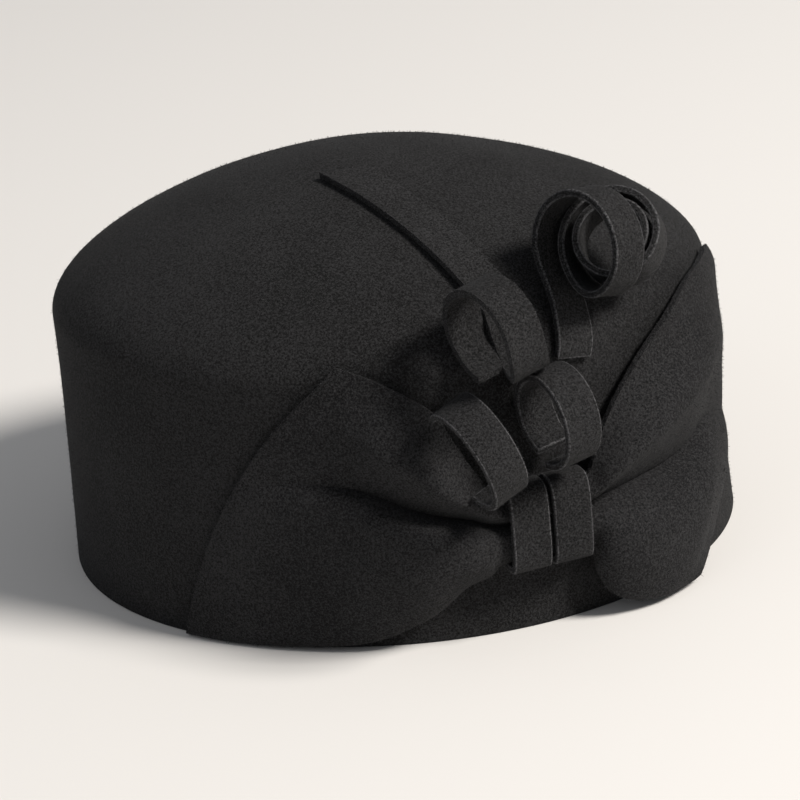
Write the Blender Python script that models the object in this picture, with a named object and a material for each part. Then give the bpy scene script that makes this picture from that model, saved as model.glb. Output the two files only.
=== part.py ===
"""A black felt pillbox hat with a pinched felt bow and curled felt strips. Metres, +Z up.

The rim's foot is at z = 0 and the origin is under the middle of the whole hat's box. X runs along the length
of the head oval, and the side with the bow faces -Y. The pieces are made round the crown's own middle and are
then moved together. A place on the crown is an angle and a rise. The angle goes round from -Y towards +X. The
rise is 0 at the foot, 1 at the top of the wall and 2 at the middle of the dome.
"""

import math

import bmesh
import bpy
import numpy as np

# Felt and the room between two layers of it
FELT = 0.0020
CLEARANCE = 0.0003

# Crown, outer sizes
RIM_LENGTH = 0.2010
RIM_WIDTH = 0.1660
SHOULDER_LENGTH = 0.1932
SHOULDER_WIDTH = 0.1632
WALL_HEIGHT = 0.0790
DOME_RISE = 0.0400
DOME_FULLNESS = 0.41
WALL_FLARE_POWER = 1.5
CROWN_LEAN = -0.025

# Knot: where it sits, its height and how far the pinched felt stands out
KNOT_ANGLE = math.radians(22.5)
KNOT_HEIGHT = 0.0345
PINCH_HEIGHT = 0.0215
PINCH_DEPTH = 0.0048
PINCH_FULLNESS = 0.85
BAND_SPACING = 0.0134
BAND_ROUNDNESS = 0.5

# Bow wings: from the knot to the far corner, measured as angles, and how far a full lobe stands out
LEFT_WING_REACH = math.radians(62.0)
RIGHT_WING_REACH = math.radians(58.5)
LOBE_PUFF = 0.0112

# Felt strips of the bands and curls
STRIP_WIDTH = 0.0112

# Curls: place on the crown, how far the strip leans from straight up, and the loop's two outer radii
LOWER_LEFT = {"angle": math.radians(8.8), "rise": 0.786, "lean": math.radians(21.8), "tip": math.radians(-20.0)}
LOWER_LEFT_RADII = (0.0172, 0.0149)
LOWER_RIGHT = {"angle": math.radians(23.3), "rise": 0.857, "lean": math.radians(4.9), "tip": math.radians(-11.9)}
LOWER_RIGHT_RADII = (0.0149, 0.0135)
UPPER_LEFT = {"angle": math.radians(14.6), "rise": 1.123, "lean": math.radians(18.1), "tip": math.radians(-12.9)}
UPPER_LEFT_RADII = (0.0146, 0.0158)
UPPER_RIGHT = {"angle": math.radians(35.8), "rise": 1.287, "lean": math.radians(2.4), "tip": math.radians(-14.7)}
UPPER_RIGHT_RADIUS = 0.0158

# The two ends of a loop, as turns from farthest out. The last end laps inside the first.
LOOP_ENDS = (math.radians(-95.0), math.radians(250.0))
LAP_DEPTH = FELT + 2 * CLEARANCE

# The lower left curl is an open arch over the wing: its two ends, and how far it is raised off the crown
ARCH_ENDS = (math.radians(-116.0), math.radians(118.0))
ARCH_RAISE = 0.0022

# Upper left loop: its ends, the turns between which it moves over sideways, and how far, as a share of the strip.
# Its last end lies beside its first and runs on up the crown as the tail.
TAIL_LOOP_ENDS = (math.radians(145.0), math.radians(-176.0))
TAIL_LOOP_SHIFT = (math.radians(-30.0), math.radians(-176.0), 0.95)

# Tail: a place that it passes on the dome, where it ends, how far its cut end slants and how much higher it lies
# where it leaves the loop
TAIL_FOOT = {"angle": math.radians(21.5), "rise": 1.363}
TAIL_TIP = {"angle": math.radians(-16.8), "rise": 1.838}
TAIL_SLANT = 0.0085
TAIL_RISE = 0.0022

# How many steps each form is drawn in
CROWN_SIDES = 64
WALL_RINGS = 8
DOME_RINGS = 11
BOW_STEPS = 3
BOW_COLUMNS = 13
BAND_STEPS = 32
LOOP_STEPS = 36
TAIL_STEPS = 10
RUN_STEPS = 5
ROLL_STEPS = 8

# Bow stations from the knot outwards. Reach is a share of the wing's reach, height a share of the wall, and
# lift a share of the puff. Each is given at the bottom edge, the valley fold and the top edge, and lift also
# at the lower and the upper lobe: bottom, lower lobe, fold, upper lobe, top.
LEFT_WING = (
    # reach: bottom, fold, top    height: bottom, fold, top    lift: bottom, lower, fold, upper, top
    ((0.120, 0.120, 0.120), (0.314, 0.436, 0.558), (0.41, 0.64, 0.29, 0.64, 0.41)),
    ((0.160, 0.195, 0.160), (0.278, 0.475, 0.640), (0.42, 0.89, 0.16, 0.87, 0.35)),
    ((0.225, 0.280, 0.208), (0.245, 0.506, 0.772), (0.42, 1.00, 0.17, 1.00, 0.31)),
    ((0.290, 0.355, 0.250), (0.165, 0.550, 0.890), (0.33, 0.98, 0.24, 0.96, 0.22)),
    ((0.350, 0.432, 0.308), (0.112, 0.606, 0.955), (0.24, 0.80, 0.33, 0.73, 0.13)),
    ((0.490, 0.500, 0.378), (0.042, 0.632, 1.012), (0.13, 0.51, 0.29, 0.40, 0.04)),
    ((0.735, 0.645, 0.438), (0.016, 0.645, 1.044), (0.03, 0.20, 0.15, 0.11, 0.02)),
    ((1.000, 0.798, 0.490), (0.012, 0.620, 1.064), (0.02, 0.02, 0.02, 0.02, 0.02)),
)
RIGHT_WING = (
    ((0.124, 0.128, 0.128), (0.312, 0.436, 0.558), (0.41, 0.64, 0.29, 0.64, 0.41)),
    ((0.135, 0.188, 0.180), (0.190, 0.456, 0.655), (0.51, 0.91, 0.16, 0.89, 0.35)),
    ((0.158, 0.250, 0.240), (0.112, 0.475, 0.766), (0.64, 1.04, 0.17, 1.02, 0.31)),
    ((0.214, 0.334, 0.316), (0.060, 0.487, 0.858), (0.73, 1.09, 0.24, 1.04, 0.26)),
    ((0.300, 0.436, 0.419), (0.032, 0.494, 0.950), (0.78, 1.04, 0.33, 0.96, 0.22)),
    ((0.376, 0.556, 0.538), (0.024, 0.506, 1.014), (0.73, 0.93, 0.40, 0.80, 0.17)),
    ((0.430, 0.700, 0.710), (0.022, 0.530, 1.058), (0.71, 0.58, 0.35, 0.53, 0.13)),
    ((0.465, 0.890, 1.000), (0.022, 0.470, 1.064), (0.69, 0.24, 0.08, 0.08, 0.08)),
)

# The upper right roll: turns done, radius as a share of the loop's, place of the near edge and height, both
# measured from the first turn in strip widths, and how many degrees more the roll tips towards the crown
ROLL = (
    (0.00, 1.00, 0.00, 0.00, 0),
    (0.30, 1.00, 0.00, 0.00, 0),
    (0.60, 1.00, 0.00, 0.00, 0),
    (0.80, 0.94, 0.20, 0.02, -4),
    (1.00, 0.84, 0.76, 0.14, -18),
    (1.25, 0.88, 1.02, 0.26, -34),
    (1.50, 0.92, 1.04, 0.28, -38),
    (1.75, 0.81, 1.04, 0.28, -38),
    (2.00, 0.64, 1.04, 0.28, -38),
    (2.25, 0.64, 1.04, 0.28, -38),
    (2.50, 0.71, 1.04, 0.28, -38),
    (2.75, 0.60, 1.04, 0.28, -38),
)

# The run of the upper right strip up the crown: degrees past the knot, and rise
RUN = (
    (9.4, 0.985),
    (11.0, 1.130),
    (12.3, 1.215),
)


def clear_scene():
    for item in list(bpy.data.objects):
        bpy.data.objects.remove(item, do_unlink=True)


def felt_material(name, shade):
    material = bpy.data.materials.new(name)
    material.use_nodes = True
    shader = material.node_tree.nodes["Principled BSDF"]
    shader.inputs["Base Color"].default_value = (shade, shade, shade, 1.0)
    shader.inputs["Roughness"].default_value = 0.95
    shader.inputs["Metallic"].default_value = 0.0
    return material


def unit(vectors):
    return vectors / np.linalg.norm(vectors, axis=-1, keepdims=True)


def crown_point(angle, rise):
    """Points of the crown's outer skin."""
    angle = np.asarray(angle, float)
    rise = np.asarray(rise, float)
    up = np.clip(rise, 0.0, 1.0)
    over = np.clip(rise - 1.0, 0.0, 1.0)
    share = (1 - over) ** 3 + 3 * (1 - over) ** 2 * over + 3 * (1 - over) * over**2 * DOME_FULLNESS
    bulge = 3 * (1 - over) ** 2 * over * DOME_FULLNESS + 3 * (1 - over) * over**2 + over**3
    flare = (1 - up) ** WALL_FLARE_POWER
    half_length = (SHOULDER_LENGTH + (RIM_LENGTH - SHOULDER_LENGTH) * flare) / 2
    half_width = (SHOULDER_WIDTH + (RIM_WIDTH - SHOULDER_WIDTH) * flare) / 2
    height = WALL_HEIGHT * up + DOME_RISE * bulge
    x = half_length * share * np.sin(angle) + CROWN_LEAN * height
    y = -half_width * share * np.cos(angle)
    return np.stack(np.broadcast_arrays(x, y, height), axis=-1)


def crown_frame(angle, rise):
    """Unit vectors round the crown, up it and out of it."""
    step = 1e-4
    around = unit(crown_point(angle + step, rise) - crown_point(angle - step, rise))
    along = crown_point(angle, rise + step) - crown_point(angle, rise - step)
    out = unit(np.cross(around, along))
    return around, unit(np.cross(out, around)), out


def crown_under(x, y):
    """The angle and rise of the dome's point over a place in plan."""
    rises = np.linspace(1.0, 2.0, 400)
    shares = crown_point(math.pi / 2, rises)[:, 0] - CROWN_LEAN * crown_point(math.pi / 2, rises)[:, 2]
    heights = crown_point(0.0, rises)[:, 2]
    shares = shares / (SHOULDER_LENGTH / 2)
    height = WALL_HEIGHT
    for _ in range(8):
        across = (x - CROWN_LEAN * height) / (SHOULDER_LENGTH / 2)
        back = -y / (SHOULDER_WIDTH / 2)
        share = math.hypot(across, back)
        rise = float(np.interp(-share, -shares, rises))
        height = float(np.interp(rise, rises, heights))
    return math.atan2(across, back), rise


def smooth_rows(rows, steps):
    """Rows of numbers made denser along a curve through all of them."""
    rows = np.asarray(rows, float)
    padded = np.vstack([2 * rows[0] - rows[1], rows, 2 * rows[-1] - rows[-2]])
    dense = []
    for first in range(len(rows) - 1):
        a, b, c, d = padded[first : first + 4]
        for step in range(steps):
            t = step / steps
            dense.append(
                0.5 * (2 * b + (c - a) * t + (2 * a - 5 * b + 4 * c - d) * t**2 + (3 * b - a - 3 * c + d) * t**3)
            )
    dense.append(rows[-1])
    return np.array(dense)


def surface_normals(grid, closed):
    """Unit normals of a grid of points, with rows along the first axis."""
    if closed:
        along = np.roll(grid, -1, axis=0) - np.roll(grid, 1, axis=0)
    else:
        along = np.gradient(grid, axis=0)
    return unit(np.cross(along, np.gradient(grid, axis=1)))


def felt_sheet(name, middle, material, closed=False, thickness=FELT):
    """A felt sheet of even thickness on both sides of a grid of middle points."""
    normals = surface_normals(middle, closed)
    rows, columns = middle.shape[:2]
    skins = np.concatenate([middle + normals * thickness / 2, middle - normals * thickness / 2])
    work = bmesh.new()
    points = [work.verts.new(point) for point in skins.reshape(-1, 3)]

    def at(side, row, column):
        return points[(side * rows + row % rows) * columns + column]

    for row in range(rows if closed else rows - 1):
        for column in range(columns - 1):
            for side in (0, 1):
                corners = [
                    at(side, row, column),
                    at(side, row + 1, column),
                    at(side, row + 1, column + 1),
                    at(side, row, column + 1),
                ]
                work.faces.new(corners if side else corners[::-1])
        for column in (0, columns - 1):
            edge = [at(0, row, column), at(0, row + 1, column), at(1, row + 1, column), at(1, row, column)]
            work.faces.new(edge)
    if not closed:
        for row in (0, rows - 1):
            for column in range(columns - 1):
                work.faces.new(
                    [at(0, row, column), at(0, row, column + 1), at(1, row, column + 1), at(1, row, column)]
                )
    return finish(name, work, material)


def finish(name, work, material):
    """Turns the faces outwards and makes the object."""
    bmesh.ops.recalc_face_normals(work, faces=work.faces)
    if work.calc_volume(signed=True) < 0:
        bmesh.ops.reverse_faces(work, faces=work.faces)
    mesh = bpy.data.meshes.new(name)
    work.to_mesh(mesh)
    work.free()
    mesh.materials.append(material)
    mesh.shade_smooth()
    mesh.set_sharp_from_angle(angle=math.radians(40))
    piece = bpy.data.objects.new(name, mesh)
    bpy.context.scene.collection.objects.link(piece)
    return piece


def make_crown(material):
    """The blocked felt body: an outer and an inner skin that meet in a flat cut foot."""
    angles = np.linspace(0.0, 2 * math.pi, CROWN_SIDES, endpoint=False)
    rises = np.concatenate(
        [np.linspace(0.0, 1.0, WALL_RINGS, endpoint=False), np.linspace(1.0, 2.0, DOME_RINGS, endpoint=False)]
    )
    outer = np.array([crown_point(angles, rise) for rise in rises])
    inner = np.array([crown_point(angles, rise) - FELT * crown_frame(angles, rise)[2] for rise in rises])
    inner[0, :, 2] = 0.0
    work = bmesh.new()
    skins = []
    for rings, top_height in ((outer, WALL_HEIGHT + DOME_RISE), (inner, WALL_HEIGHT + DOME_RISE - FELT)):
        points = [[work.verts.new(point) for point in ring] for ring in rings]
        apex = work.verts.new((CROWN_LEAN * (WALL_HEIGHT + DOME_RISE), 0.0, top_height))
        for low, high in zip(points, points[1:]):
            for k in range(CROWN_SIDES):
                following = (k + 1) % CROWN_SIDES
                work.faces.new([low[k], low[following], high[following], high[k]])
        for k in range(CROWN_SIDES):
            work.faces.new([points[-1][k], points[-1][(k + 1) % CROWN_SIDES], apex])
        skins.append(points)
    for k in range(CROWN_SIDES):
        following = (k + 1) % CROWN_SIDES
        work.faces.new([skins[0][0][k], skins[1][0][k], skins[1][0][following], skins[0][0][following]])
    return finish("crown", work, material)


def bow_stations():
    """The bow's rows from the left end through the knot to the right end, as angles, heights and lifts."""
    low = (KNOT_HEIGHT - (PINCH_HEIGHT - FELT) / 2) / WALL_HEIGHT
    middle = KNOT_HEIGHT / WALL_HEIGHT
    high = (KNOT_HEIGHT + (PINCH_HEIGHT - FELT) / 2) / WALL_HEIGHT
    near = (FELT + CLEARANCE) / LOBE_PUFF
    far = near + PINCH_FULLNESS * PINCH_DEPTH / LOBE_PUFF
    edge = (near + far) / 2
    pinch = [KNOT_ANGLE] * 3 + [low, middle, high] + [edge, far, near, far, edge]
    left = [[KNOT_ANGLE - LEFT_WING_REACH * r for r in reach] + list(h) + list(l) for reach, h, l in LEFT_WING]
    right = [[KNOT_ANGLE + RIGHT_WING_REACH * r for r in reach] + list(h) + list(l) for reach, h, l in RIGHT_WING]
    return left[::-1] + [pinch] + right


def make_bow(material):
    """One piece of felt, pinched into a fold at the knot, whose two wings wrap the wall."""
    across = np.linspace(0.0, 1.0, BOW_COLUMNS)
    rows = []
    for row in smooth_rows(bow_stations(), BOW_STEPS):
        angles, rises = [
            a * (1 - across) * (1 - 2 * across) + b * 4 * across * (1 - across) + c * across * (2 * across - 1)
            for a, b, c in (row[0:3], row[3:6])
        ]
        shares = smooth_rows(row[6:11, None], (BOW_COLUMNS - 1) // 4)[:, 0]
        lifts = FELT / 2 + CLEARANCE + shares * LOBE_PUFF
        rises = np.where(rises > 1.0, 1.0 + (rises - 1.0) * WALL_HEIGHT / DOME_RISE / (3 * DOME_FULLNESS), rises)
        rows.append(crown_point(angles, rises) + lifts[:, None] * crown_frame(angles, rises)[2])
    return felt_sheet("bow", np.array(rows), material)


def curl_frame(place):
    """The foot of a curl on the crown, and its directions along the strip, across it and out."""
    around, up, out = crown_frame(place["angle"], place["rise"])
    across = math.cos(place["lean"]) * around + math.sin(place["lean"]) * up
    along = -math.sin(place["lean"]) * around + math.cos(place["lean"]) * up
    tipped = math.cos(place["tip"]) * across + math.sin(place["tip"]) * out
    outward = -math.sin(place["tip"]) * across + math.cos(place["tip"]) * out
    return crown_point(place["angle"], place["rise"]), along, tipped, outward


def strip(name, centres, across, material, closed=False, slant=0.0):
    """A felt strip along its centre points, with a unit vector across it at each. The last end may be slanted."""
    centres = np.asarray(centres, float)
    across = np.asarray(across, float)
    grid = np.stack([centres - across * STRIP_WIDTH / 2, centres + across * STRIP_WIDTH / 2], axis=1)
    if slant:
        forward = unit(centres[-1] - centres[-2])
        grid[-1, 0] += forward * slant / 2
        grid[-1, 1] -= forward * slant / 2
    return felt_sheet(name, grid, material, closed)


def make_band(name, side, material):
    """One of the two strips that wrap the pinch: a closed loop, flat at the back and round at its corners."""
    foot = crown_point(KNOT_ANGLE, KNOT_HEIGHT / WALL_HEIGHT)
    around, up, out = crown_frame(KNOT_ANGLE, KNOT_HEIGHT / WALL_HEIGHT)
    near = FELT / 2 + CLEARANCE
    far = near + 2 * (FELT + CLEARANCE) + PINCH_DEPTH
    half_height = PINCH_HEIGHT / 2 + CLEARANCE + FELT / 2
    centres = []
    for turn in np.linspace(0.0, 2 * math.pi, BAND_STEPS, endpoint=False):
        high, deep = math.sin(turn), math.cos(turn)
        height = half_height * math.copysign(abs(high) ** BAND_ROUNDNESS, high)
        depth = (near + far) / 2 + (far - near) / 2 * math.copysign(abs(deep) ** BAND_ROUNDNESS, deep)
        centres.append(foot + side * BAND_SPACING / 2 * around + height * up + depth * out)
    return strip(name, centres, [around] * len(centres), material, closed=True)


def height_over_crown(points):
    """How far each point stands off the crown's skin, near the knot's side of the hat."""
    angles, rises = np.meshgrid(np.linspace(KNOT_ANGLE - 1.0, KNOT_ANGLE + 1.0, 160), np.linspace(0.4, 1.9, 200))
    skin = crown_point(angles.ravel(), rises.ravel())
    normals = crown_frame(angles.ravel(), rises.ravel())[2]
    heights = []
    for point in points:
        nearest = ((skin - point) ** 2).sum(axis=1).argmin()
        heights.append(float((point - skin[nearest]) @ normals[nearest]))
    return np.array(heights)


def room_under(points, across):
    """How far a strip's lower edge stands off the crown at each of its centre points, less what the felt needs."""
    reach = STRIP_WIDTH / 2 * across
    lower = np.minimum(height_over_crown(points - reach), height_over_crown(points + reach))
    return lower - FELT / 2 - CLEARANCE


def loop_points(place, radii, ends):
    """Centre points of a strip round a loop that winds slowly inwards, from one end to the other. Turn 0 is
    farthest out."""
    foot, along, across, out = curl_frame(place)
    first, last = ends
    points = []
    for turn in np.linspace(first, last, LOOP_STEPS):
        inward = FELT / 2 + LAP_DEPTH * (turn - first) / (last - first)
        depth = radii[1] + (radii[1] - inward) * math.cos(turn)
        points.append(foot + depth * out + (radii[0] - inward) * math.sin(turn) * along)
    return np.array(points), across, out


def seated_loop(place, radii, ends):
    """The loop's points, moved straight in or out so that its lowest edge rests on the crown."""
    points, across, out = loop_points(place, radii, ends)
    return points - room_under(points, across).min() * out, across


def make_lower_left_curl(material):
    """An open arch that stands over the wing."""
    points, across, out = loop_points(LOWER_LEFT, LOWER_LEFT_RADII, ARCH_ENDS)
    return strip("curl_lower_left", points + ARCH_RAISE * out, [across] * len(points), material)


def make_lower_right_curl(material):
    """A short strip rolled into a loop above the knot."""
    points, across = seated_loop(LOWER_RIGHT, LOWER_RIGHT_RADII, LOOP_ENDS)
    return strip("curl_lower_right", points, [across] * len(points), material)


def squared(path, across):
    """The vectors across a path, turned square to it."""
    direction = unit(np.gradient(path, axis=0))
    return unit(across - (across * direction).sum(axis=1, keepdims=True) * direction)


def eased(points, joint, reach):
    """The points, with those near a joint drawn towards their neighbours so that the bend spreads out."""
    points = points.copy()
    for _ in range(reach):
        for k in range(joint - reach, joint + reach):
            points[k] = (points[k - 1] + 2 * points[k] + points[k + 1]) / 4
    return points


def raised(path, across):
    """How far to raise each point of a strip's path, evenly along it, so that no edge comes too near the crown."""
    short = np.maximum(-room_under(path, across), 0.0)
    spread = [max(short[max(k - 4, 0) : k + 5]) for k in range(len(short))]
    return np.convolve(np.pad(spread, 4, mode="edge"), np.full(9, 1 / 9), mode="valid")


def make_upper_left_curl(material):
    """A strip that curls up and over into a loop, comes back to the crown beside its start and runs on as a tail."""
    foot, along, across, out = curl_frame(UPPER_LEFT)
    from_turn, to_turn, shift = TAIL_LOOP_SHIFT
    path = []
    for turn in np.linspace(*TAIL_LOOP_ENDS, LOOP_STEPS):
        moved = min(max((turn - from_turn) / (to_turn - from_turn), 0.0), 1.0)
        moved = moved**2 * (3 - 2 * moved) * shift * STRIP_WIDTH
        depth = FELT / 2 + CLEARANCE + (UPPER_LEFT_RADII[1] - FELT / 2) * (1 + math.cos(turn))
        path.append(foot + depth * out + (UPPER_LEFT_RADII[0] - FELT / 2) * math.sin(turn) * along + moved * across)
    sideways = [across] * len(path)
    places = [path[-1], crown_point(**TAIL_FOOT), crown_point(**TAIL_TIP)]
    stations = smooth_rows([place[:2] for place in places], TAIL_STEPS)[2:]
    for share, (x, y) in zip(np.linspace(0.0, 1.0, len(stations)), stations):
        angle, rise = crown_under(x, y)
        normal = crown_frame(angle, rise)[2]
        lift = FELT / 2 + CLEARANCE + TAIL_RISE * (1 - share) ** 3
        path.append(crown_point(angle, rise) + lift * normal)
        sideways.append(unit(np.cross(path[-1] - path[-2], normal)))
    path = eased(np.array(path), LOOP_STEPS, 4)
    sideways = squared(path, eased(np.array(sideways), LOOP_STEPS, 6))
    path = path + raised(path, sideways)[:, None] * out
    return strip("curl_upper_left", path, sideways, material, slant=TAIL_SLANT)


def make_upper_right_curl(material):
    """A strip that runs up the crown and winds into a roll, whose later turns tip over beside the first."""
    foot, along, across, out = curl_frame(UPPER_RIGHT)
    flat = FELT / 2 + CLEARANCE
    seat = flat + STRIP_WIDTH / 2 * abs(math.sin(UPPER_RIGHT["tip"]))
    run = [(KNOT_ANGLE + math.radians(angle), rise) for angle, rise in RUN]
    run.append((UPPER_RIGHT["angle"], UPPER_RIGHT["rise"]))
    run.append((run[-1][0], 2 * run[-1][1] - run[-2][1]))
    run = smooth_rows(run, RUN_STEPS)[: -RUN_STEPS - 1]
    path, sideways = [], []
    for share, (angle, rise) in zip(np.linspace(0.0, 1.0, len(run) + 1), run):
        around, up, normal = crown_frame(angle, rise)
        path.append(crown_point(angle, rise) + (flat + (seat - flat) * share) * normal)
        sideways.append((1 - share) * around + share * across)
    hub = foot + (seat - FELT / 2 + UPPER_RIGHT_RADIUS) * out
    for turns, radius_share, shift, height, tip in smooth_rows(ROLL, ROLL_STEPS):
        turn = math.pi - 2 * math.pi * turns
        radius = (UPPER_RIGHT_RADIUS - FELT / 2) * radius_share
        tip = math.radians(tip)
        tipped = math.cos(tip) * across + math.sin(tip) * out
        outward = -math.sin(tip) * across + math.cos(tip) * out
        centre = hub + STRIP_WIDTH * ((shift - 0.5) * across + 0.5 * tipped + height * out)
        path.append(centre + radius * (math.cos(turn) * outward + math.sin(turn) * along))
        sideways.append(tipped)
    path = eased(np.array(path), len(run), 3)
    sideways = squared(path, eased(np.array(sideways), len(run), 3))
    return strip("curl_upper_right", path + raised(path, sideways)[:, None] * out, sideways, material)


def centre_on_floor(pieces):
    """Moves the pieces together so that the middle of their common box is over the origin."""
    corners = np.array([vertex.co[:] for piece in pieces for vertex in piece.data.vertices])
    middle = (corners.min(axis=0) + corners.max(axis=0)) / 2
    for piece in pieces:
        for vertex in piece.data.vertices:
            vertex.co.x -= middle[0]
            vertex.co.y -= middle[1]


clear_scene()
centre_on_floor(
    [
        make_crown(felt_material("crown_felt", 0.012)),
        make_bow(felt_material("bow_felt", 0.014)),
        make_band("knot_band_left", -1, felt_material("left_band_felt", 0.016)),
        make_band("knot_band_right", 1, felt_material("right_band_felt", 0.016)),
        make_lower_left_curl(felt_material("lower_left_curl_felt", 0.015)),
        make_lower_right_curl(felt_material("lower_right_curl_felt", 0.015)),
        make_upper_left_curl(felt_material("upper_left_curl_felt", 0.015)),
        make_upper_right_curl(felt_material("upper_right_curl_felt", 0.015)),
    ]
)
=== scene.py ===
"""Looks of a black felt pillbox hat with a pinched felt bow and curled felt strips. Metres, +Z up."""

import math

import bmesh
import bpy
import numpy as np
from mathutils import Matrix, Vector, noise


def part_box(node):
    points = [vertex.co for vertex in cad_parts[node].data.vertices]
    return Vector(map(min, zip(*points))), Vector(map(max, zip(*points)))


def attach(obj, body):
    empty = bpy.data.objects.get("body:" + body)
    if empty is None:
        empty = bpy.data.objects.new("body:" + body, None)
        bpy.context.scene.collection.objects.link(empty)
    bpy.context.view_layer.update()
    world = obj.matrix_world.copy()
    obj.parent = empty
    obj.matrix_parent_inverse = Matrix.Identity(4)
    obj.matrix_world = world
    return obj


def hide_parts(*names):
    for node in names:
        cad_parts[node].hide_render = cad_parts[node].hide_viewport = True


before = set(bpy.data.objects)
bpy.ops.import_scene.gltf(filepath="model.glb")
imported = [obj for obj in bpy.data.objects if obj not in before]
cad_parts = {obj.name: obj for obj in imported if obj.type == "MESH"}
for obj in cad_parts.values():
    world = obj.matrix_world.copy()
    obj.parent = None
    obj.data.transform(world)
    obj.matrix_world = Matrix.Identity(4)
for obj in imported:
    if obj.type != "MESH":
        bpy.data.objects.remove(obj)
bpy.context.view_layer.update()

# Crown: one piece of wool felt, steamed and pulled over an oval wooden block, then left to dry on it. It
# stands on its cut foot and is open below. A place on it is an angle from the bow side round towards +X, and
# a rise: 0 at the foot, 1 at the top of the wall, 2 at the middle of the dome.
FELT = 0.0020
CLEARANCE = 0.0003
RIM_LENGTH = 0.2010
RIM_WIDTH = 0.1660
SHOULDER_LENGTH = 0.1932
SHOULDER_WIDTH = 0.1632
WALL_HEIGHT = 0.0790
DOME_RISE = 0.0400
DOME_FULLNESS = 0.41
WALL_FLARE_POWER = 1.5
CROWN_LEAN = -0.025
CROWN_SIDES = 256
WALL_RINGS = 44
DOME_RINGS = 56
FIRST_RISE = 0.012
LAST_RISE = 1.985
CUT_EDGE_ROUND = 0.0006
CUT_EDGE_STEPS = 4
crown_low, crown_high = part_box("crown")
CROWN_MIDDLE = np.array([(crown_low[0] + crown_high[0]) / 2, (crown_low[1] + crown_high[1]) / 2, 0.0])

# Slow unevenness of blocked felt: waves per metre and height. It fades out over this height above the foot.
SWAY = ((22.0, 0.0004), (60.0, 0.00012))
SWAY_FADE = 0.01


def unit(vectors):
    return vectors / np.linalg.norm(vectors, axis=-1, keepdims=True)


def crown_point(angle, rise):
    """Points of the crown's outer skin."""
    angle = np.asarray(angle, float)
    rise = np.asarray(rise, float)
    up = np.clip(rise, 0.0, 1.0)
    over = np.clip(rise - 1.0, 0.0, 1.0)
    share = (1 - over) ** 3 + 3 * (1 - over) ** 2 * over + 3 * (1 - over) * over**2 * DOME_FULLNESS
    bulge = 3 * (1 - over) ** 2 * over * DOME_FULLNESS + 3 * (1 - over) * over**2 + over**3
    flare = (1 - up) ** WALL_FLARE_POWER
    half_length = (SHOULDER_LENGTH + (RIM_LENGTH - SHOULDER_LENGTH) * flare) / 2
    half_width = (SHOULDER_WIDTH + (RIM_WIDTH - SHOULDER_WIDTH) * flare) / 2
    height = WALL_HEIGHT * up + DOME_RISE * bulge
    x = half_length * share * np.sin(angle) + CROWN_LEAN * height
    y = -half_width * share * np.cos(angle)
    return CROWN_MIDDLE + np.stack(np.broadcast_arrays(x, y, height), axis=-1)


def crown_frame(angle, rise):
    """Unit vectors round the crown, up it and out of it."""
    step = 1e-4
    rise = np.clip(rise, 0.0, 2.0 - 2 * step)
    around = unit(crown_point(angle + step, rise) - crown_point(angle - step, rise))
    along = crown_point(angle, rise + step) - crown_point(angle, rise - step)
    out = unit(np.cross(around, along))
    return around, unit(np.cross(out, around)), out


def linear(code):
    """An sRGB hex colour as a linear colour."""
    parts = [int(code[i : i + 2], 16) / 255 for i in (1, 3, 5)]
    return tuple(c / 12.92 if c <= 0.04045 else ((c + 0.055) / 1.055) ** 2.4 for c in parts) + (1.0,)


def node(tree, kind, settings=None, links=None):
    """Adds a shader node, with its settings by name and its links from other nodes' outputs."""
    new = tree.nodes.new("ShaderNode" + kind)
    for key, value in (settings or {}).items():
        if hasattr(new, str(key)):
            setattr(new, key, value)
        else:
            new.inputs[key].default_value = value
    for key, source in (links or {}).items():
        tree.links.new(source, new.inputs[key])
    return new


# Wool fibres are about 0.03 mm wide, too fine to show, so the felt's grain is drawn as clumps of this width,
# with finer fibres in them. Dye and pressing also leave faint lighter patches.
FELT_GRAIN = 0.00062
FIBRE_TO_CLUMP = 0.35
CLUMP_SHARE = 0.55
PATCHES_PER_METRE = 28.0
PATCH_SHARE = 0.12
GRAIN_DARK_AT = 0.50
GRAIN_LIGHT_AT = 0.64


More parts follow.
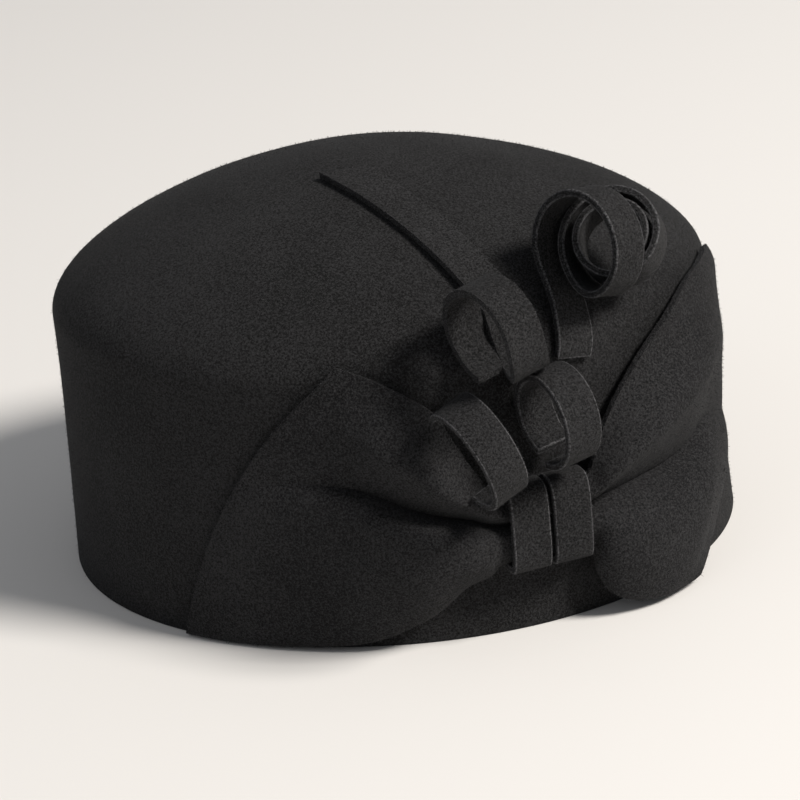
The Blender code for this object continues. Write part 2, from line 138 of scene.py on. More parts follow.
def wool_felt(name, dark, light, sheen):
    """Wool felt dyed in the piece: matted fibres scatter light, so it's matt with a soft bloom at grazing
    angles, and at this distance its fibres read as fine salt-and-pepper grain."""
    material = bpy.data.materials.new(name)
    material.use_nodes = True
    tree = material.node_tree
    shader = tree.nodes["Principled BSDF"]
    place = node(tree, "TexCoord").outputs["Object"]
    clump_look = {"Scale": 1 / FELT_GRAIN, "Detail": 3.0, "Roughness": 0.65}
    fibre_look = {"Scale": 1 / (FELT_GRAIN * FIBRE_TO_CLUMP), "Detail": 2.0, "Distortion": 1.5}
    clumps = node(tree, "TexNoise", clump_look, {"Vector": place})
    fibres = node(tree, "TexNoise", fibre_look, {"Vector": place})
    patches = node(tree, "TexNoise", {"Scale": PATCHES_PER_METRE, "Detail": 2.0}, {"Vector": place})
    coarse = node(tree, "Math", {"operation": "MULTIPLY", 1: CLUMP_SHARE}, {0: clumps.outputs["Fac"]})
    add_fibres = {"operation": "MULTIPLY_ADD", 1: 1 - CLUMP_SHARE}
    mixed = node(tree, "Math", add_fibres, {0: fibres.outputs["Fac"], 2: coarse.outputs[0]})
    add_patches = {"operation": "MULTIPLY_ADD", 1: PATCH_SHARE}
    patchy = node(tree, "Math", add_patches, {0: patches.outputs["Fac"], 2: mixed.outputs[0]})
    ramp = node(tree, "ValToRGB", {}, {"Fac": patchy.outputs[0]})
    ramp.color_ramp.elements[0].position = GRAIN_DARK_AT
    ramp.color_ramp.elements[0].color = linear(dark)
    ramp.color_ramp.elements[1].position = GRAIN_LIGHT_AT
    ramp.color_ramp.elements[1].color = linear(light)
    bump = node(tree, "Bump", {"Strength": 0.8, "Distance": 0.0003}, {"Height": mixed.outputs[0]})
    tree.links.new(ramp.outputs["Color"], shader.inputs["Base Color"])
    tree.links.new(bump.outputs["Normal"], shader.inputs["Normal"])
    shader.inputs["Roughness"].default_value = 0.95
    shader.inputs["Specular IOR Level"].default_value = 0.25
    shader.inputs["Sheen Weight"].default_value = sheen
    shader.inputs["Sheen Roughness"].default_value = 0.45
    shader.inputs["Sheen Tint"].default_value = linear("#8f8f94")
    return material


def piece(name, points, faces, material, replaced):
    """A finished piece in the row frame that stands for its CAD node."""
    mesh = bpy.data.meshes.new(name)
    mesh.from_pydata(np.asarray(points).tolist(), [], faces)
    mesh.materials.append(material)
    mesh.shade_smooth()
    made = bpy.data.objects.new(name, mesh)
    bpy.context.scene.collection.objects.link(made)
    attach(made, "root")
    if replaced:
        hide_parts(replaced)
    return made


# Loose fibres, drawn about three times as thick as real ones so that they show: half their width, how far
# above the table they stay, their spacing along a cut edge, and their length there against elsewhere
FIBRE_HALF_WIDTH = 0.000045
FIBRE_FLOOR = 0.0002
FRINGE_SPACING = 0.00012
FRINGE_LENGTH = 0.7


def slivers(name, roots, normals, length, chance, material):
    """Short bent wool fibres at the given roots, none of them reaching below the table."""
    count = len(roots)
    lying = unit(np.cross(normals, unit(chance.normal(size=(count, 3)))))
    reach = length * chance.uniform(0.4, 1.0, count)[:, None]
    lift = chance.uniform(0.2, 0.9, count)[:, None]
    middle = roots + reach * (0.45 * lying + 0.75 * lift * normals)
    tip = roots + reach * (lying * 1.1 + lift * normals * 0.9)
    side = unit(np.cross(lying, normals)) * FIBRE_HALF_WIDTH
    rows = np.stack([roots - side, roots + side, middle - side * 0.8, middle + side * 0.8, tip], axis=1)
    rows = rows[rows[:, :, 2].min(axis=1) > FIBRE_FLOOR]
    faces = []
    for a in range(0, 5 * len(rows), 5):
        faces += [(a, a + 1, a + 3, a + 2), (a + 2, a + 3, a + 4)]
    return piece(name, rows.reshape(-1, 3), faces, material, None)


def nap(name, base, count, length, seed):
    """Loose wool fibres that stand off a piece's whole surface, and closer together along its cut edges."""
    chance = np.random.default_rng(seed)
    shown = base.evaluated_get(bpy.context.evaluated_depsgraph_get()).to_mesh()
    shown.calc_loop_triangles()
    corners = np.array([[shown.vertices[i].co[:] for i in t.vertices] for t in shown.loop_triangles])
    facing = np.cross(corners[:, 1] - corners[:, 0], corners[:, 2] - corners[:, 0])
    areas = np.linalg.norm(facing, axis=1)
    picked = chance.choice(len(corners), size=count, p=areas / areas.sum())
    first, second = chance.random((2, count))
    over = first + second > 1
    first[over], second[over] = 1 - first[over], 1 - second[over]
    triangle = corners[picked]
    roots = triangle[:, 0] + first[:, None] * (triangle[:, 1] - triangle[:, 0])
    roots = roots + second[:, None] * (triangle[:, 2] - triangle[:, 0])
    # These fibres are coloured paler than the felt they stand on, a painted sheen.
    slivers(name, roots, unit(facing[picked]), length, chance, sheen_painted_fibre)
    work = bmesh.new()
    work.from_mesh(base.data)
    cut = [edge for edge in work.edges if edge.is_boundary]
    middles = [(edge.verts[0].co + edge.verts[1].co) / 2 for edge in cut]
    if cut:
        ends = np.array([[vertex.co[:] for vertex in edge.verts] for edge in cut])
        inner = [edge.link_faces[0].calc_center_median() for edge in cut]
        outward = np.array([middle - centre for middle, centre in zip(middles, inner)])
        normals = np.array([edge.link_faces[0].normal[:] for edge in cut])
        lengths = np.linalg.norm(ends[:, 1] - ends[:, 0], axis=1)
        fringe = int(lengths.sum() / FRINGE_SPACING)
        picked = chance.choice(len(cut), size=fringe, p=lengths / lengths.sum())
        roots = ends[picked, 0] + chance.random(fringe)[:, None] * (ends[picked, 1] - ends[picked, 0])
        side = chance.uniform(-0.5, 0.5, fringe)[:, None]
        roots = roots + side * FELT * normals[picked]
        leaning = unit(unit(outward[picked]) + side * normals[picked])
        # Fibres along a cut edge take the palest colour, a painted highlight on the edge.
        slivers(name + "_edge", roots, leaning, length * FRINGE_LENGTH, chance, edge_highlight_fibre)
    work.free()


def make_crown():
    """The outer skin from the dome down, round the cut foot and up inside, as rings of one rise and depth."""
    wall = np.linspace(FIRST_RISE, 1.0, WALL_RINGS, endpoint=False)
    up = np.concatenate([wall, np.linspace(1.0, LAST_RISE, DOME_RINGS)])
    quarter = np.linspace(0.0, math.pi / 2, CUT_EDGE_STEPS)
    edge = CUT_EDGE_ROUND
    profile = [(rise, 0.0, 0.0) for rise in up[::-1]]
    for turn in quarter:
        profile.append((0.0, edge * (1 - math.cos(turn)), edge * (1 - math.sin(turn))))
    for turn in quarter[::-1]:
        profile.append((0.0, FELT - edge * (1 - math.cos(turn)), edge * (1 - math.sin(turn))))
    profile += [(rise, FELT, 0.0) for rise in up[::2]]
    angles = np.linspace(0.0, 2 * math.pi, CROWN_SIDES, endpoint=False)
    rings = []
    for rise, depth, height in profile:
        ring = crown_point(angles, rise) - depth * crown_frame(angles, rise)[2]
        if rise == 0.0:
            ring[:, 2] = height
        rings.append(ring)
    points = np.array(rings)
    for row, (rise, _, _) in enumerate(profile):
        outwards = crown_frame(angles, rise)[2]
        sway = [sum(noise.noise(Vector(p) * rate) * size for rate, size in SWAY) for p in points[row]]
        points[row] += np.array(sway)[:, None] * outwards * np.clip(points[row][:, 2:] / SWAY_FADE, 0.0, 1.0)
    last = (len(rings) - 1) * CROWN_SIDES
    faces = []
    for a in range(0, last, CROWN_SIDES):
        b = a + CROWN_SIDES
        for k in range(CROWN_SIDES):
            following = (k + 1) % CROWN_SIDES
            faces.append((a + k, b + k, b + following, a + following))
    flat = points.reshape(-1, 3).tolist()
    top = crown_point(0.0, 2.0)
    flat += [top.tolist(), (top - [0.0, 0.0, FELT]).tolist()]
    for k in range(CROWN_SIDES):
        following = (k + 1) % CROWN_SIDES
        faces.append((k, following, len(flat) - 2))
        faces.append((last + following, last + k, len(flat) - 1))
    return piece("crown_body", flat, faces, crown_felt, "crown")


# Blocked felt is brushed, near black and dead matt. Its loose fibres are coloured paler than the felt, a
# painted sheen, and those along a cut paler still, a painted highlight, so edges read as thin paler lines.
crown_felt = wool_felt("blocked_wool_felt", "#010101", "#2b2b2c", 0.03)
sheen_painted_fibre = wool_felt("loose_wool_fibre_painted_sheen", "#141415", "#3e3e40", 0.1)
edge_highlight_fibre = wool_felt("frayed_edge_fibre_painted_highlight", "#242425", "#5c5c5e", 0.2)
crown = make_crown()
nap("crown_nap", crown, 60000, 0.0010, 3)

# Bow: one piece of the same felt in sheet, cut to two wings, pinched into a fold at the knot and pressed
# round the wall. Its cut ends lie on the crown and are glued down, and its lobes stand off it.
KNOT_ANGLE = math.radians(22.5)
KNOT_HEIGHT = 0.0345
PINCH_HEIGHT = 0.0215
PINCH_DEPTH = 0.0048
PINCH_FULLNESS = 0.85
LEFT_WING_REACH = math.radians(62.0)
RIGHT_WING_REACH = math.radians(58.5)
LOBE_PUFF = 0.0112
BOW_COLUMNS = 65
BOW_STEPS = 12

# How much of its height the fold keeps, how sharp its lower lip is on each wing, and how its upper side rises
FOLD_PRESSED = 0.1
LEFT_LIP = 8.0
RIGHT_LIP = 3.0
FOLD_UPPER_SIDE = 1.1

# A sheet's cut corners, softly rounded by the shears
CORNER_ROUND = 0.00045
CORNER_STEPS = 3
CORNER_LEAST_ANGLE = math.radians(55)
LEFT_WING = (
    # reach: bottom, fold, top    height: bottom, fold, top    lift: bottom, lower, fold, upper, top
    ((0.120, 0.120, 0.120), (0.314, 0.436, 0.558), (0.41, 0.64, 0.29, 0.64, 0.41)),
    ((0.160, 0.195, 0.160), (0.278, 0.475, 0.640), (0.42, 0.89, 0.16, 0.87, 0.35)),
    ((0.225, 0.280, 0.208), (0.245, 0.506, 0.772), (0.42, 1.00, 0.17, 1.00, 0.31)),
    ((0.290, 0.355, 0.250), (0.165, 0.550, 0.890), (0.33, 0.98, 0.24, 0.96, 0.22)),
    ((0.350, 0.432, 0.308), (0.112, 0.606, 0.955), (0.24, 0.80, 0.33, 0.73, 0.13)),
    ((0.490, 0.500, 0.378), (0.042, 0.632, 1.012), (0.13, 0.51, 0.29, 0.40, 0.04)),
    ((0.735, 0.645, 0.438), (0.016, 0.645, 1.044), (0.03, 0.20, 0.15, 0.11, 0.02)),
    ((1.000, 0.798, 0.490), (0.012, 0.620, 1.064), (0.02, 0.02, 0.02, 0.02, 0.02)),
)
RIGHT_WING = (
    ((0.124, 0.128, 0.128), (0.312, 0.436, 0.558), (0.41, 0.64, 0.29, 0.64, 0.41)),
    ((0.135, 0.188, 0.180), (0.190, 0.448, 0.655), (0.51, 0.91, 0.16, 0.89, 0.35)),
    ((0.158, 0.250, 0.240), (0.112, 0.455, 0.766), (0.64, 1.04, 0.17, 1.02, 0.31)),
    ((0.214, 0.334, 0.316), (0.060, 0.462, 0.858), (0.73, 1.09, 0.24, 1.04, 0.26)),
    ((0.300, 0.436, 0.419), (0.032, 0.468, 0.950), (0.78, 1.04, 0.33, 0.96, 0.22)),
    ((0.376, 0.556, 0.538), (0.024, 0.484, 1.014), (0.73, 0.93, 0.40, 0.80, 0.17)),
    ((0.430, 0.700, 0.710), (0.022, 0.530, 1.058), (0.71, 0.58, 0.35, 0.53, 0.13)),
    ((0.465, 0.890, 1.000), (0.022, 0.470, 1.064), (0.69, 0.24, 0.08, 0.08, 0.08)),
)


def smooth_rows(rows, steps):
    """Rows of numbers made denser along a curve through all of them."""
    rows = np.asarray(rows, float)
    padded = np.vstack([2 * rows[0] - rows[1], rows, 2 * rows[-1] - rows[-2]])
    dense = []
    for first in range(len(rows) - 1):
        a, b, c, d = padded[first : first + 4]
        for step in range(steps):
            t = step / steps
            bend = (2 * a - 5 * b + 4 * c - d) * t**2 + (3 * b - a - 3 * c + d) * t**3
            dense.append(0.5 * (2 * b + (c - a) * t + bend))
    dense.append(rows[-1])
    return np.array(dense)


def cut_sheet(name, grid, closed, material, replaced):
    """A sheet of felt on both sides of a grid of points, with softly rounded cut edges."""
    rows, columns = grid.shape[:2]
    faces = []
    for row in range(rows if closed else rows - 1):
        following = (row + 1) % rows
        for column in range(columns - 1):
            corner = row * columns + column
            beside = following * columns + column
            faces.append((corner, beside, beside + 1, corner + 1))
    made = piece(name, grid.reshape(-1, 3), faces, material, replaced)
    made.data.materials.append(cut_corner_highlight)
    body = made.modifiers.new("thickness", "SOLIDIFY")
    body.thickness = FELT
    body.offset = 0.0
    edge = made.modifiers.new("cut edge", "BEVEL")
    edge.width = CORNER_ROUND
    # The rounded cut corners take the paler material, a painted highlight.
    edge.material = 1
    edge.segments = CORNER_STEPS
    edge.limit_method = "ANGLE"
    edge.angle_limit = CORNER_LEAST_ANGLE
    return made


# A sheared corner is coloured paler than its faces, a painted highlight along the cut edges
cut_corner_highlight = wool_felt("sheared_corner_painted_highlight", "#161617", "#58585a", 0.1)


def bow_stations():
    """Rows from the left wing's end to the right wing's: three angles, three heights and five lifts each."""
    low = (KNOT_HEIGHT - (PINCH_HEIGHT - FELT) / 2) / WALL_HEIGHT
    middle = KNOT_HEIGHT / WALL_HEIGHT
    high = (KNOT_HEIGHT + (PINCH_HEIGHT - FELT) / 2) / WALL_HEIGHT
    near = (FELT + CLEARANCE) / LOBE_PUFF
    far = near + PINCH_FULLNESS * PINCH_DEPTH / LOBE_PUFF
    edge = (near + far) / 2
    stations = [[KNOT_ANGLE] * 3 + [low, middle, high] + [edge, far, near, far, edge]]
    for reaches, heights, lifts in LEFT_WING:
        stations.insert(0, [KNOT_ANGLE - LEFT_WING_REACH * reach for reach in reaches] + [*heights, *lifts])
    for reaches, heights, lifts in RIGHT_WING:
        stations.append([KNOT_ANGLE + RIGHT_WING_REACH * reach for reach in reaches] + [*heights, *lifts])
    return stations


def pleated(lifts, across, lip):
    """A wing's lifts from its lower to its upper edge, with the fold pressed down between its two lobes."""
    low, lower, fold, upper, high = lifts
    fold = fold * FOLD_PRESSED
    quarter = np.minimum((across * 4).astype(int), 3)
    place = across * 4 - quarter
    smooth = place**2 * (3 - 2 * place)
    return np.select(
        [quarter == 0, quarter == 1, quarter == 2],
        [
            low + (lower - low) * (1 - (1 - place) ** 2),
            lower + (fold - lower) * place**lip,
            fold + (upper - fold) * (1 - (1 - place) ** FOLD_UPPER_SIDE),
        ],
        upper + (high - upper) * smooth,
    )


def through_three(low, middle, high, across):
    """A curve through a row's lower, middle and upper values."""
    ends = low * (1 - across) * (1 - 2 * across) + high * across * (2 * across - 1)
    return ends + middle * 4 * across * (1 - across)


def make_bow():
    across = np.linspace(0.0, 1.0, BOW_COLUMNS)
    past_wall = WALL_HEIGHT / DOME_RISE / (3 * DOME_FULLNESS)
    rows = []
    for row in smooth_rows(bow_stations(), BOW_STEPS):
        angles = through_three(*row[0:3], across)
        rises = through_three(*row[3:6], across)
        lip = LEFT_LIP if row[1] < KNOT_ANGLE else RIGHT_LIP
        lifts = FELT / 2 + CLEARANCE + pleated(row[6:11], across, lip) * LOBE_PUFF
        rises = np.where(rises > 1.0, 1.0 + (rises - 1.0) * past_wall, rises)
        rows.append(crown_point(angles, rises) + lifts[:, None] * crown_frame(angles, rises)[2])
    return cut_sheet("bow_felt_piece", np.array(rows), False, sheet_felt, "bow")


# Pressed sheet felt is as matt as the crown and a shade lighter, with the same fine grain
sheet_felt = wool_felt("pressed_wool_felt_sheet", "#010102", "#2d2d2e", 0.03)
bow = make_bow()
nap("bow_nap", bow, 34000, 0.0009, 5)

# Knot bands: two narrow strips of felt, cut from the sheet with a knife, wrapped side by side over the pinch
# and sewn together behind it, out of sight.
STRIP_WIDTH = 0.0112
STRIP_COLUMNS = 7
SLANT_SPREAD = 1.5
BAND_SPACING = 0.0126
BAND_ROUNDNESS = 0.5
BAND_STEPS = 96


def strip(name, centres, across, closed, material, replaced, slot, slant=0.0):
    """A felt strip along its centre points, with a unit vector across it at each and maybe a slanted end."""
    centres = np.asarray(centres, float)
    across = np.asarray(across, float)
    shares = np.linspace(-0.5, 0.5, STRIP_COLUMNS)
    grid = centres[:, None] + shares[:, None] * STRIP_WIDTH * across[:, None]
    if slant:
        left = np.cumsum(np.linalg.norm(np.diff(centres, axis=0), axis=1)[::-1])[::-1]
        leaning = np.clip(1 - np.append(left, 0.0) / (SLANT_SPREAD * slant), 0.0, 1.0)
        along = unit(centres[-1] - centres[-2])
        grid -= leaning[:, None, None] * slant * shares[:, None] * along
    return cut_sheet(name, grid, closed, material, replaced)


def make_band(name, side, replaced):
    """A closed loop of strip round the pinched bow, square with rounded corners."""
    foot = crown_point(KNOT_ANGLE, KNOT_HEIGHT / WALL_HEIGHT)
    around, up, out = crown_frame(KNOT_ANGLE, KNOT_HEIGHT / WALL_HEIGHT)
    near = FELT / 2 + CLEARANCE
    far = near + 2 * (FELT + CLEARANCE) + PINCH_DEPTH
    half_height = PINCH_HEIGHT / 2 + CLEARANCE + FELT / 2
    centres = []
    for turn in np.linspace(0.0, 2 * math.pi, BAND_STEPS, endpoint=False):
        high, deep = math.sin(turn), math.cos(turn)
        height = half_height * math.copysign(abs(high) ** BAND_ROUNDNESS, high)
        depth = (near + far) / 2 + (far - near) / 2 * math.copysign(abs(deep) ** BAND_ROUNDNESS, deep)
        centres.append(foot + side * BAND_SPACING / 2 * around + height * up + depth * out)
    return strip(name, centres, [around] * len(centres), True, strip_felt, replaced, "band_felt")


# Knife-cut strips are brushed up by handling, so they show a little more bloom than the sheet
strip_felt = wool_felt("cut_wool_felt_strip", "#020202", "#2f2f30", 0.04)
left_band = make_band("left_band", -1, "knot_band_left")
right_band = make_band("right_band", 1, "knot_band_right")
nap("left_band_nap", left_band, 3000, 0.0008, 7)
nap("right_band_nap", right_band, 3000, 0.0008, 9)

# Lower curls: short strips of felt wound damp round a rod, so that they keep their loops. The left one is an
# open arch over the wing, and the right one is a closed loop, sewn down, its last end lapped inside. Each has
# a place on the crown, a lean from straight up, a tip of its far side, and outer radii.
LOWER_LEFT = {
    "angle": math.radians(8.8),
    "rise": 0.786,
    "lean": math.radians(21.8),
    "tip": math.radians(-20.0),
}
LOWER_LEFT_RADII = (0.0172, 0.0149)
LOWER_RIGHT = {
    "angle": math.radians(23.3),
    "rise": 0.857,
    "lean": math.radians(4.9),
    "tip": math.radians(-11.9),
}
LOWER_RIGHT_RADII = (0.0149, 0.0135)
LOOP_STEPS = 120

# The two ends of the arch and of the loop, as turns from farthest out, how far the arch is raised off the
# crown, and how far the loop's lap lies inside
ARCH_ENDS = (math.radians(-116.0), math.radians(118.0))
ARCH_RAISE = 0.0022
LOOP_ENDS = (math.radians(-95.0), math.radians(250.0))
LAP_DEPTH = FELT + 2 * CLEARANCE

# The stretch of crown near the curls that heights are measured from
SKIN_ANGLES = np.linspace(KNOT_ANGLE - 1.0, KNOT_ANGLE + 1.0, 160)
SKIN_RISES = np.linspace(0.4, 1.9, 200)


def curl_frame(place):
    """The foot of a curl on the crown, and its directions along the strip, across it and out."""
    around, up, out = crown_frame(place["angle"], place["rise"])
    across = math.cos(place["lean"]) * around + math.sin(place["lean"]) * up
    along = -math.sin(place["lean"]) * around + math.cos(place["lean"]) * up
    tipped = math.cos(place["tip"]) * across + math.sin(place["tip"]) * out
    outward = -math.sin(place["tip"]) * across + math.cos(place["tip"]) * out
    return crown_point(place["angle"], place["rise"]), along, tipped, outward


def height_over_crown(points):
    """How far each point stands off the crown's skin, near the knot's side of the hat."""
    angles, rises = [places.ravel() for places in np.meshgrid(SKIN_ANGLES, SKIN_RISES)]
    skin = crown_point(angles, rises)
    normals = crown_frame(angles, rises)[2]
    heights = []
    for point in points:
        nearest = ((skin - point) ** 2).sum(axis=1).argmin()
        heights.append(float((point - skin[nearest]) @ normals[nearest]))
    return np.array(heights)


def room_under(points, across):
    """How far a strip's lower edge stands off the crown at each centre point, less what the felt needs."""
    reach = STRIP_WIDTH / 2 * across
    lower = np.minimum(height_over_crown(points - reach), height_over_crown(points + reach))
    return lower - FELT / 2 - CLEARANCE


def loop_points(place, radii, ends):
    """Centre points of a strip round a loop that winds slowly inwards. Turn 0 is farthest out."""
    foot, along, across, out = curl_frame(place)
    first, last = ends
    points = []
    for turn in np.linspace(first, last, LOOP_STEPS):
        inward = FELT / 2 + LAP_DEPTH * (turn - first) / (last - first)
        depth = radii[1] + (radii[1] - inward) * math.cos(turn)
        points.append(foot + depth * out + (radii[0] - inward) * math.sin(turn) * along)
    return np.array(points), across, out


def seated_loop(place, radii, ends):
    """The loop's points, moved straight in or out so that its lowest edge rests on the crown."""
    points, across, out = loop_points(place, radii, ends)
    return points - room_under(points, across).min() * out, across


def make_lower_left():
    points, across, out = loop_points(LOWER_LEFT, LOWER_LEFT_RADII, ARCH_ENDS)
    points = points + ARCH_RAISE * out
    sideways = [across] * len(points)
    return strip("lower_left_curl", points, sideways, False, strip_felt, "curl_lower_left", "curl_felt")


def make_lower_right():
    points, across = seated_loop(LOWER_RIGHT, LOWER_RIGHT_RADII, LOOP_ENDS)
    sideways = [across] * len(points)
    return strip("lower_right_curl", points, sideways, False, strip_felt, "curl_lower_right", "curl_felt")


lower_left = make_lower_left()
lower_right = make_lower_right()
nap("lower_left_nap", lower_left, 3500, 0.0008, 11)
nap("lower_right_nap", lower_right, 4500, 0.0008, 13)

# Upper left curl: a long strip of felt rolled into one loop, whose end comes back to the crown beside its
# start and lies over the dome as a tail with a slanted end. It is sewn down under the loop.
UPPER_LEFT = {
    "angle": math.radians(14.6),
    "rise": 1.123,
    "lean": math.radians(18.1),
    "tip": math.radians(-12.9),
}
UPPER_LEFT_RADII = (0.0146, 0.0158)

# Its loop's ends, the turns between which it moves over sideways, and how far, as a share of the strip
TAIL_LOOP_ENDS = (math.radians(222.0), math.radians(-176.0))
TAIL_LOOP_SHIFT = (math.radians(-30.0), math.radians(-176.0), 0.95)

# Tail: a place that it passes on the dome, where it ends, how far its cut end slants and how much higher it
# lies where it leaves the loop
TAIL_FOOT = {"angle": math.radians(21.5), "rise": 1.363}
TAIL_TIP = {"angle": math.radians(-16.8), "rise": 1.838}
TAIL_SLANT = 0.0085
TAIL_RISE = 0.0022
TAIL_STEPS = 32

# Rows eased on each side of a joint, in the path and across it, and rows that a raise spreads over each way
JOINT_EASE = 12
JOINT_WIDTH_EASE = 16
RAISE_SPREAD = 12


def crown_under(x, y):
    """The angle and rise of the dome's point over a place in plan."""
    rises = np.linspace(1.0, 2.0, 400)
    side = crown_point(math.pi / 2, rises) - CROWN_MIDDLE
    shares = (side[:, 0] - CROWN_LEAN * side[:, 2]) / (SHOULDER_LENGTH / 2)
    x, y = x - CROWN_MIDDLE[0], y - CROWN_MIDDLE[1]
    height = WALL_HEIGHT
    for _ in range(8):
        across = (x - CROWN_LEAN * height) / (SHOULDER_LENGTH / 2)
        back = -y / (SHOULDER_WIDTH / 2)
        share = math.hypot(across, back)
        rise = float(np.interp(-share, -shares, rises))
        height = float(np.interp(rise, rises, side[:, 2]))
    return math.atan2(across, back), rise


def squared(path, across):
    """The vectors across a path, turned square to it."""
    direction = unit(np.gradient(path, axis=0))
    return unit(across - (across * direction).sum(axis=1, keepdims=True) * direction)


def eased(points, joint, reach):
    """The points, with those near a joint drawn towards their neighbours so that the bend spreads out."""
    points = points.copy()
    for _ in range(reach):
        for k in range(joint - reach, joint + reach):
            points[k] = (points[k - 1] + 2 * points[k] + points[k + 1]) / 4
    return points


def raised(path, across):
    """How far to raise each point of a strip's path, evenly along it, so that no edge digs into the crown."""
    short = np.maximum(-room_under(path, across), 0.0)
    spread = [max(short[max(k - RAISE_SPREAD, 0) : k + RAISE_SPREAD + 1]) for k in range(len(short))]
    window = 2 * RAISE_SPREAD + 1
    return np.convolve(np.pad(spread, RAISE_SPREAD, mode="edge"), np.full(window, 1 / window), mode="valid")


def make_upper_left():
    """A strip that curls over into a loop, comes back to the crown beside its start and runs on as a tail."""
    foot, along, across, out = curl_frame(UPPER_LEFT)
    from_turn, to_turn, shift = TAIL_LOOP_SHIFT
    path = []
    for turn in np.linspace(*TAIL_LOOP_ENDS, LOOP_STEPS):
        moved = min(max((turn - from_turn) / (to_turn - from_turn), 0.0), 1.0)
        moved = moved**2 * (3 - 2 * moved) * shift * STRIP_WIDTH
        depth = FELT / 2 + CLEARANCE + (UPPER_LEFT_RADII[1] - FELT / 2) * (1 + math.cos(turn))
        length = (UPPER_LEFT_RADII[0] - FELT / 2) * math.sin(turn)
        path.append(foot + depth * out + length * along + moved * across)
    sideways = [across] * len(path)
    places = [path[-1], crown_point(**TAIL_FOOT), crown_point(**TAIL_TIP)]
    stations = smooth_rows([place[:2] for place in places], TAIL_STEPS)[2:]
    for share, (x, y) in zip(np.linspace(0.0, 1.0, len(stations)), stations):
        angle, rise = crown_under(x, y)
        normal = crown_frame(angle, rise)[2]
        lift = FELT / 2 + CLEARANCE + TAIL_RISE * (1 - share) ** 3
        path.append(crown_point(angle, rise) + lift * normal)
        sideways.append(unit(np.cross(path[-1] - path[-2], normal)))
    path = eased(np.array(path), LOOP_STEPS, JOINT_EASE)
    sideways = squared(path, eased(np.array(sideways), LOOP_STEPS, JOINT_WIDTH_EASE))
    path = path + raised(path, sideways)[:, None] * out
    finish = (strip_felt, "curl_upper_left", "curl_felt")
    return strip("upper_left_curl", path, sideways, False, *finish, slant=TAIL_SLANT)


upper_left = make_upper_left()
nap("upper_left_nap", upper_left, 7000, 0.0008, 15)

# Upper right curl: a strip of felt that runs up the crown and is wound into a roll, whose later turns tip
# over beside the first. It is sewn down where it touches the crown.
UPPER_RIGHT = {
    "angle": math.radians(35.8),
    "rise": 1.287,
    "lean": math.radians(2.4),
    "tip": math.radians(-14.7),
}
UPPER_RIGHT_RADIUS = 0.0158
RUN_STEPS = 16
ROLL_STEPS = 24
ROLL_JOINT_EASE = 9

# The roll: turns done, radius as a share of the loop's, place of the near edge and height, both measured from
# the first turn in strip widths, and how many degrees more the roll tips towards the crown
ROLL = (
    (0.00, 1.00, 0.00, 0.00, 0),
    (0.30, 1.00, 0.00, 0.00, 0),
    (0.60, 1.00, 0.00, 0.00, 0),
    (0.80, 0.94, 0.20, 0.02, -4),
    (1.00, 0.84, 0.76, 0.14, -18),
    (1.25, 0.88, 1.02, 0.26, -34),
    (1.50, 0.92, 1.04, 0.28, -38),
    (1.75, 0.81, 1.04, 0.28, -38),
    (2.00, 0.64, 1.04, 0.28, -38),
    (2.25, 0.64, 1.04, 0.28, -38),
    (2.50, 0.71, 1.04, 0.28, -38),
    (2.75, 0.60, 1.04, 0.28, -38),
)

# The run of the strip up the crown: degrees past the knot, and rise
RUN = (
    (9.4, 0.985),
    (11.0, 1.130),
    (12.3, 1.215),
)


def make_upper_right():
    """A strip that runs up the crown and winds into a roll, whose later turns tip over beside the first."""
    foot, along, across, out = curl_frame(UPPER_RIGHT)
    flat = FELT / 2 + CLEARANCE
    seat = flat + STRIP_WIDTH / 2 * abs(math.sin(UPPER_RIGHT["tip"]))
    run = [(KNOT_ANGLE + math.radians(angle), rise) for angle, rise in RUN]
    run.append((UPPER_RIGHT["angle"], UPPER_RIGHT["rise"]))
    run.append((run[-1][0], 2 * run[-1][1] - run[-2][1]))
    run = smooth_rows(run, RUN_STEPS)[: -RUN_STEPS - 1]
    path, sideways = [], []
    for share, (angle, rise) in zip(np.linspace(0.0, 1.0, len(run) + 1), run):
        around, up, normal = crown_frame(angle, rise)
        path.append(crown_point(angle, rise) + (flat + (seat - flat) * share) * normal)
        sideways.append((1 - share) * around + share * across)
    hub = foot + (seat - FELT / 2 + UPPER_RIGHT_RADIUS) * out
    for turns, radius_share, shift, height, tip in smooth_rows(ROLL, ROLL_STEPS):
        turn = math.pi - 2 * math.pi * turns
        radius = (UPPER_RIGHT_RADIUS - FELT / 2) * radius_share
        tip = math.radians(tip)
        tipped = math.cos(tip) * across + math.sin(tip) * out
        outward = -math.sin(tip) * across + math.cos(tip) * out
        centre = hub + STRIP_WIDTH * ((shift - 0.5) * across + 0.5 * tipped + height * out)
        path.append(centre + radius * (math.cos(turn) * outward + math.sin(turn) * along))
        sideways.append(tipped)
    path = eased(np.array(path), len(run), ROLL_JOINT_EASE)
    sideways = squared(path, eased(np.array(sideways), len(run), ROLL_JOINT_EASE))
    path = path + raised(path, sideways)[:, None] * out
    return strip("upper_right_curl", path, sideways, False, strip_felt, "curl_upper_right", "curl_felt")


upper_right = make_upper_right()
nap("upper_right_nap", upper_right, 9000, 0.0008, 17)

# Studio: a plain pale table, a soft key light from the front right, a broad fill and the camera at the
# photograph's place, rolled as it was held.
TABLE_REACH = 4
table_mesh = bpy.data.meshes.new("table")
table_corners = [(x * TABLE_REACH, y * TABLE_REACH, 0) for x, y in ((-1, -1), (1, -1), (1, 1), (-1, 1))]
table_mesh.from_pydata(table_corners, [], [(0, 1, 2, 3)])

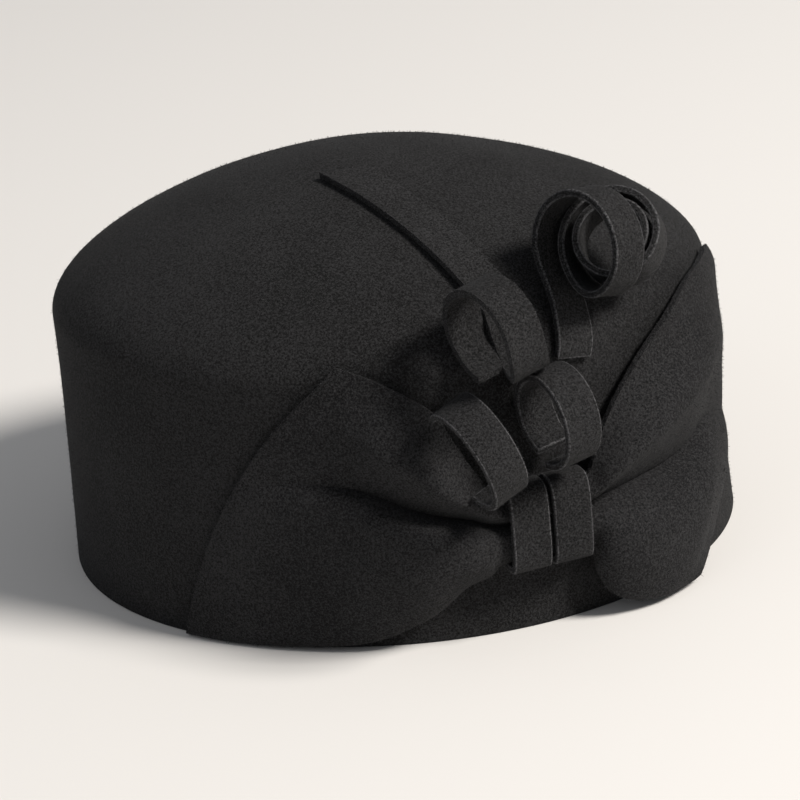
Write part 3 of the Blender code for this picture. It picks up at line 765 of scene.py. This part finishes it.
# Matt paint on a table top: an even pale surface with no shine
table_paint = bpy.data.materials.new("matt_painted_table")
table_paint.use_nodes = True
table_shader = table_paint.node_tree.nodes["Principled BSDF"]
table_shader.inputs["Base Color"].default_value = linear("#e2e0dd")
table_shader.inputs["Roughness"].default_value = 0.8
table_mesh.materials.append(table_paint)
table = bpy.data.objects.new("table", table_mesh)
bpy.context.scene.collection.objects.link(table)


def area_light(name, place, target, size, power, colour):
    lamp = bpy.data.lights.new(name, "AREA")
    lamp.shape = "DISK"
    lamp.size = size
    lamp.energy = power
    lamp.color = linear(colour)[:3]
    made = bpy.data.objects.new(name, lamp)
    made.location = place
    made.rotation_mode = "QUATERNION"
    made.rotation_quaternion = (Vector(target) - Vector(place)).to_track_quat("-Z", "Y")
    bpy.context.scene.collection.objects.link(made)


area_light("key", (2.1, -0.9, 2.3), (0.02, -0.02, 0.06), 0.9, 140.0, "#fffaf4")
area_light("fill", (-2.6, -2.6, 2.8), (0.0, 0.0, 0.05), 3.2, 16.0, "#f4f7ff")
world = bpy.data.worlds.new("room")
world.use_nodes = True
world.node_tree.nodes["Background"].inputs["Color"].default_value = linear("#eceef2")
world.node_tree.nodes["Background"].inputs["Strength"].default_value = 0.3
bpy.context.scene.world = world

CAMERA_ELEVATION = math.radians(23.3)
CAMERA_ROLL = math.radians(4.95)
CAMERA_DISTANCE = 0.878
CAMERA_TARGET = Vector((0.0015, CROWN_MIDDLE[1], 0.0392))
lens = bpy.data.cameras.new("camera")
lens.lens = 130.9
lens.sensor_width = 36.0
camera = bpy.data.objects.new("camera", lens)
forward = Vector((0.0, math.cos(CAMERA_ELEVATION), -math.sin(CAMERA_ELEVATION)))
camera.matrix_world = (
    Matrix.Translation(CAMERA_TARGET - CAMERA_DISTANCE * forward)
    @ forward.to_track_quat("-Z", "Y").to_matrix().to_4x4()
    @ Matrix.Rotation(-CAMERA_ROLL, 4, "Z")
)
bpy.context.scene.collection.objects.link(camera)
bpy.context.scene.camera = camera
bpy.context.scene.view_settings.view_transform = "Standard"
